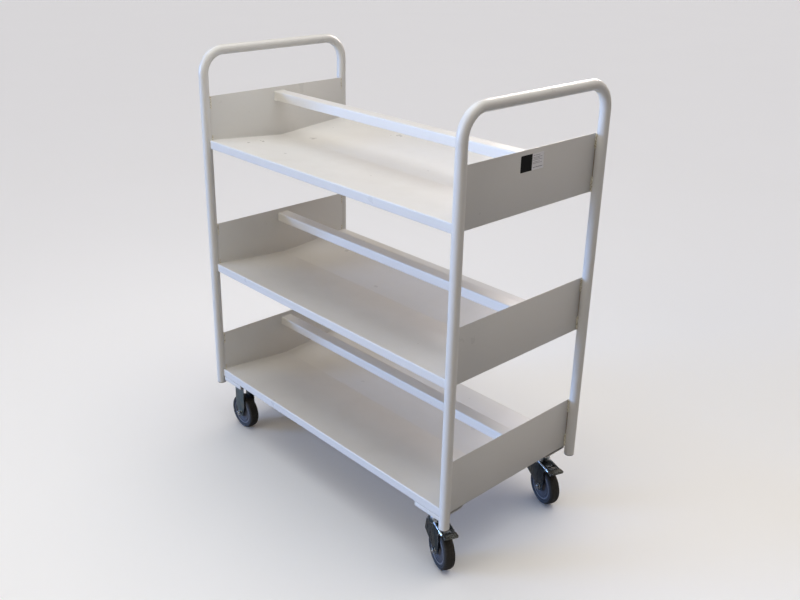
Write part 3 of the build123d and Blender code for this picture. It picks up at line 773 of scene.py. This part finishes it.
def weld_bead(shape, low, high, dice):
    """One rippled bead between two corners of the CAD bead's box."""
    middle = (low + high) / 2
    reach = WELD_GROWTH * max(high.x - low.x, high.y - low.y) / 2
    length = high.z - low.z
    rings = []
    phase = dice.uniform(0, math.pi)
    for k in range(WELD_STEPS + 1):
        t = k / WELD_STEPS
        ripple = abs(math.sin(math.pi * length * t / WELD_RIPPLE + phase))
        taper = min(1.0, math.sin(math.pi * t) * WELD_TAPER + WELD_TIP)
        share = WELD_WAIST + WELD_CREST * ripple + dice.uniform(-WELD_UNEVEN, WELD_UNEVEN)
        sway = Vector((dice.uniform(-1, 1), dice.uniform(-1, 1), 0)) * reach * WELD_SWAY
        centre = Vector((middle.x, middle.y, low.z + length * t)) + sway
        rings.append(ring_of(shape, centre, UP, [reach * taper * share] * WELD_SIDES, ALONG))
    skin(shape, rings, False)


def make_welds():
    """Beads, one for each separate solid of the CAD node, and the painted slots between them."""
    root, paint = 1, 2
    solids = bmesh.new()
    solids.from_mesh(nodes["weld_beads"].data)
    bmesh.ops.remove_doubles(solids, verts=solids.verts, dist=SAME_PLACE)
    waiting = set(solids.verts)
    boxes = []
    while waiting:
        group = [waiting.pop()]
        for vert in group:
            for edge in vert.link_edges:
                other = edge.other_vert(vert)
                if other in waiting:
                    waiting.remove(other)
                    group.append(other)
        low = Vector([min(v.co[i] for v in group) for i in range(3)])
        high = Vector([max(v.co[i] for v in group) for i in range(3)])
        boxes.append((low, high))
    solids.free()
    boxes.sort(key=lambda pair: tuple(round(value, 4) for value in pair[0]))
    dice = random.Random(WELD_SEED)
    shape = bmesh.new()
    for low, high in boxes:
        weld_bead(shape, low, high, dice)
    plates = [plate for level in LEVELS for plate in end_plates(level)]
    for plate_low, plate_high, inner, outer, sign in plates:
        inset = sign * SLOT_RECESS
        filler = (paint, inner + inset, outer - inset, -SLOT_OVERLAP, SLOT_WIDTH)
        line = (root, outer - 2 * inset, outer, LINE_START, LINE_START + LINE_WIDTH)
        for kind, x_near, x_far, y_near, y_far in (filler, line):
            for edge, way in ((plate_low.y, -1), (plate_high.y, 1)):
                x_low, x_high = sorted((x_near, x_far))
                y_low, y_high = sorted((edge + way * y_near, edge + way * y_far))
                corner_low = Vector((x_low, y_low, plate_low.z + SLOT_END))
                corner_high = Vector((x_high, y_high, plate_high.z - SLOT_END))
                block(shape, corner_low, corner_high, kind)
    mesh = mesh_from(shape, "weld_beads_rippled")
    add_piece("weld_beads_rippled", mesh, ["weld_beads"], [WELD, SLOT_ROOT, PAINT], BEAD_ANGLE)


# ---------------------------------------------------------------- paint fillets
TROUGH_DEPTH = 0.020
FILLET = 0.0024
FILLET_REACH = 0.214  # from the middle plane to a floor fillet's end, beside the tube
FILLET_BACK = 0.0001  # how far a fillet sits into the sheets it joins
FILLET_STEPS = 5
RAIL_ROUNDING = 0.003


def fillet_strip(shape, path, inner, sign, closed):
    """Concave run of paint where a surface meets a plate: path is (y, z, outward y, outward z) points."""
    section = [(-FILLET_BACK, -FILLET_BACK)]
    for k in range(FILLET_STEPS + 1):
        turn = math.pi / 2 * k / FILLET_STEPS
        section.append((FILLET * (1 - math.sin(turn)), FILLET * (1 - math.cos(turn))))
    section[1] = (FILLET, -FILLET_BACK)
    section[-1] = (-FILLET_BACK, FILLET)
    rings = []
    for y, z, out_y, out_z in path:
        spots = [(inner - sign * b, y + out_y * a, z + out_z * a) for a, b in section]
        rings.append([shape.verts.new(spot) for spot in spots])
    skin(shape, rings, closed)


def make_fillets():
    """Paint runs where the floors and rails meet the end plates."""
    shape = bmesh.new()
    for level in LEVELS:
        _, tray_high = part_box(f"{level}_tray")
        rail_low, rail_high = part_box(f"{level}_rail")
        floor_path = []
        for y in (-FILLET_REACH, 0.0, FILLET_REACH):
            z = tray_high.z - TROUGH_DEPTH * (1 - abs(y) / tray_high.y)
            floor_path.append((y, z, 0.0, 1.0))
        rail_path = []
        middle = (rail_low + rail_high) / 2
        for corner_y, corner_z, start in ((1, 1, 0), (-1, 1, 90), (-1, -1, 180), (1, -1, 270)):
            centre_y = middle.y + corner_y * ((rail_high.y - rail_low.y) / 2 - RAIL_ROUNDING)
            centre_z = middle.z + corner_z * ((rail_high.z - rail_low.z) / 2 - RAIL_ROUNDING)
            for k in range(FILLET_STEPS + 1):
                turn = math.radians(start + 90 * k / FILLET_STEPS)
                out_y, out_z = math.cos(turn), math.sin(turn)
                spot = (centre_y + RAIL_ROUNDING * out_y, centre_z + RAIL_ROUNDING * out_z)
                rail_path.append((*spot, out_y, out_z))
        for _, _, inner, _, sign in end_plates(level):
            fillet_strip(shape, floor_path, inner, sign, False)
            fillet_strip(shape, rail_path, inner, sign, True)
    bmesh.ops.recalc_face_normals(shape, faces=shape.faces)
    mesh = mesh_from(shape, "shelf_paint_fillets")
    add_piece("shelf_paint_fillets", mesh, ["top_tray"], [PAINT], RUN_ANGLE, hides=False)


# ---------------------------------------------------------------- label
LABEL_SPLIT = 0.49  # share of the width that the dark block takes
LABEL_DEPTH = 0.6  # share of the CAD label's thickness that the film takes, under its print
LABEL_CORNER = 0.002
LABEL_CORNER_STEPS = 4
LABEL_MARGIN = 0.003
RULE_SINK = 0.00005
WORD_RULE = 0.0007
LABEL_RULES = (  # share of the height, gap at the far end, thickness
    (0.86, 0.013, WORD_RULE),
    (0.74, 0.006, WORD_RULE),
    (0.66, 0.013, WORD_RULE),
    (0.58, 0.006, WORD_RULE),
    (0.46, 0.013, WORD_RULE),
    (0.38, 0.006, WORD_RULE),
    (0.14, 0.003, 0.0011),
)


def make_label():
    """Thin film with a dark block, a pale panel and plain grey rules, and no lettering."""
    low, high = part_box("asset_label")
    shape = bmesh.new()
    split = low.y + LABEL_SPLIT * (high.y - low.y)
    face = low.x + LABEL_DEPTH * (high.x - low.x)
    dark, pale, rule = 0, 1, 2
    block(shape, low, Vector((face, split, high.z)), dark)
    block(shape, Vector((low.x, split, low.z)), Vector((face, high.y, high.z)), pale)
    through = [e for e in shape.edges if abs(e.verts[0].co.x - e.verts[1].co.x) > SAME_PLACE]
    outer = [e for e in through if min(abs(e.verts[0].co.y - y) for y in (low.y, high.y)) < SAME_PLACE]
    round_over(shape, outer, LABEL_CORNER, LABEL_CORNER_STEPS)
    for share, gap, thickness in LABEL_RULES:
        z = low.z + (high.z - low.z) * share
        end = Vector((high.x - RULE_SINK, high.y - gap, z + thickness))
        block(shape, Vector((low.x, split + LABEL_MARGIN, z)), end, rule)
    name = "asset_label_printed"
    add_piece(name, mesh_from(shape, name), ["asset_label"], [LABEL_DARK, LABEL_PALE, LABEL_RULE])


# ---------------------------------------------------------------- build the looks
FOLD_ROUNDING = 0.0006
PLATE_ROUNDING = 0.00035
SPRING_ROUNDING = 0.0002
PIN_ROUNDING = 0.0005

for name, node in nodes.items():
    node.data.materials.clear()
    node.data.materials.append(FINISHES[slot_of_node[name]])

for corner in CORNERS:
    make_tyre(corner)
    make_hub(corner)
    softened(f"{corner}_castor_bracket", FOLD_ROUNDING, PAINT)
    # Right (swivel) forks take the darker zinc copy, painted shade, with painted fold highlights; the left
    # forks take the lighter one.
    softened(f"{corner}_fork", FOLD_ROUNDING, SHADED_FORK_ZINC if corner.endswith("right") else ZINC)
for end in ENDS:
    make_pedal(end)
for level in LEVELS:
    for side in SIDES:
        softened(f"{level}_{side}_end_plate", PLATE_ROUNDING, PAINT)
for end in ENDS:
    make_axle([f"{end}_right"], f"{end}_right_axle_bolt", f"{end}_right_axle_nut")
    # Spring and pin in bright zinc, partly a painted highlight where they show in the crown's window.
    softened(f"{end}_right_brake_spring", SPRING_ROUNDING, BRIGHT_ZINC)
    softened(f"{end}_right_brake_pin", PIN_ROUNDING, BRIGHT_ZINC)
make_axle(["front_left", "back_left"], "rigid_axle_bolts", "rigid_axle_nuts")
make_mount_bolts()
make_plugs()
make_welds()
make_fillets()
make_label()


# ---------------------------------------------------------------- floor, light and camera
FLOOR_REACH = 30.0
FLOOR_STEPS = 8
OBJECT_MIDDLE = Vector((0, 0, 0.6))


def make_floor():
    shape = bmesh.new()
    bmesh.ops.create_grid(shape, x_segments=FLOOR_STEPS, y_segments=FLOOR_STEPS, size=FLOOR_REACH)
    floor = bpy.data.objects.new("studio_floor", mesh_from(shape, "studio_floor"))
    floor.data.materials.append(floor_paper())
    bpy.context.scene.collection.objects.link(floor)


def add_sun(name, towards, colour, strength, angle):
    """Distant soft light that shines from a direction onto the object."""
    lamp = bpy.data.lights.new(name, "SUN")
    lamp.energy = strength
    lamp.color = colour
    lamp.angle = math.radians(angle)
    light = bpy.data.objects.new(name, lamp)
    light.rotation_euler = Vector(towards).to_track_quat("Z", "Y").to_euler()
    bpy.context.scene.collection.objects.link(light)


def add_panel(name, place, colour, power, width, gloss_only=False):
    """Soft round light near the object, aimed at its middle and unseen by the camera."""
    lamp = bpy.data.lights.new(name, "AREA")
    lamp.shape = "DISK"
    lamp.size = width
    lamp.energy = power
    lamp.color = colour
    light = bpy.data.objects.new(name, lamp)
    light.location = place
    light.rotation_euler = (Vector(place) - OBJECT_MIDDLE).to_track_quat("Z", "Y").to_euler()
    light.visible_camera = False
    light.visible_diffuse = not gloss_only
    bpy.context.scene.collection.objects.link(light)


def make_world(side, colour, seen_tone):
    """Soft room light of one colour that comes from one side. The camera sees plain pale grey."""
    world = bpy.data.worlds.new("studio")
    world.use_nodes = True
    tree = world.node_tree
    background = tree.nodes["Background"]
    share = tree.nodes.new("ShaderNodeVectorMath")
    share.operation = "DOT_PRODUCT"
    direction = tree.nodes.new("ShaderNodeTexCoord").outputs["Generated"]
    tree.links.new(direction, share.inputs[0])
    share.inputs[1].default_value = side
    held = tree.nodes.new("ShaderNodeMapRange")
    tree.links.new(share.outputs["Value"], held.inputs["Value"])
    tinted = tree.nodes.new("ShaderNodeVectorMath")
    tinted.operation = "SCALE"
    tinted.inputs[0].default_value = colour
    tree.links.new(held.outputs[0], tinted.inputs["Scale"])
    seen = tree.nodes.new("ShaderNodeMix")
    seen.data_type = "RGBA"
    tree.links.new(tree.nodes.new("ShaderNodeLightPath").outputs["Is Camera Ray"], seen.inputs[0])
    tree.links.new(tinted.outputs[0], seen.inputs[6])
    seen.inputs[7].default_value = (*seen_tone, 1)
    tree.links.new(seen.outputs[2], background.inputs["Color"])
    bpy.context.scene.world = world


CAMERA_PLACE = Vector((1.59250, -1.47644, 1.44056))
CAMERA_AZIMUTH = math.radians(47.678)
CAMERA_ELEVATION = math.radians(22.293)
CAMERA_ROLL = math.radians(0.695)
CAMERA_LENS = 40.93
CAMERA_SHIFT = (0.02679, -0.02975)


def make_camera():
    """Camera at the three-quarter view from the right front, above the top tray."""
    back = Vector((
        math.sin(CAMERA_AZIMUTH) * math.cos(CAMERA_ELEVATION),
        -math.cos(CAMERA_AZIMUTH) * math.cos(CAMERA_ELEVATION),
        math.sin(CAMERA_ELEVATION),
    ))
    level = Vector((math.cos(CAMERA_AZIMUTH), math.sin(CAMERA_AZIMUTH), 0))
    up = back.cross(level)
    right = level * math.cos(CAMERA_ROLL) + up * math.sin(CAMERA_ROLL)
    top = up * math.cos(CAMERA_ROLL) - level * math.sin(CAMERA_ROLL)
    lens = bpy.data.cameras.new("view")
    lens.lens = CAMERA_LENS
    lens.shift_x, lens.shift_y = CAMERA_SHIFT
    camera = bpy.data.objects.new("view", lens)
    camera.matrix_world = Matrix((
        (right.x, top.x, back.x, CAMERA_PLACE.x),
        (right.y, top.y, back.y, CAMERA_PLACE.y),
        (right.z, top.z, back.z, CAMERA_PLACE.z),
        (0, 0, 0, 1),
    ))
    bpy.context.scene.collection.objects.link(camera)
    bpy.context.scene.camera = camera


make_floor()
add_sun("window_light", (-0.60, -0.78, 0.14), (0.289, 0.513, 1.0), 2.45, 22)
add_sun("front_fill_light", (-0.05, -0.95, 0.22), (1.0, 0.897, 0.773), 0.85, 40)
add_sun("ceiling_light", (0.05, 0.10, 1.0), (1.0, 0.987, 0.954), 1.45, 70)
add_panel("front_panel", (0.0, -1.55, 1.95), (1.0, 0.90, 0.70), 5.5, 1.0)
add_panel("ceiling_panel", (0.0, -0.20, 2.30), (0.851, 0.926, 1.0), 7.3, 1.6)
add_panel("back_reflector", (-0.42, 1.70, 1.82), (1.0, 0.893, 0.845), 38.0, 0.9, True)
make_world((0, 1, 0), (0.818, 0.691, 0.611), (0.84, 0.84, 0.84))
make_camera()
bpy.context.scene.view_settings.view_transform = "Standard"
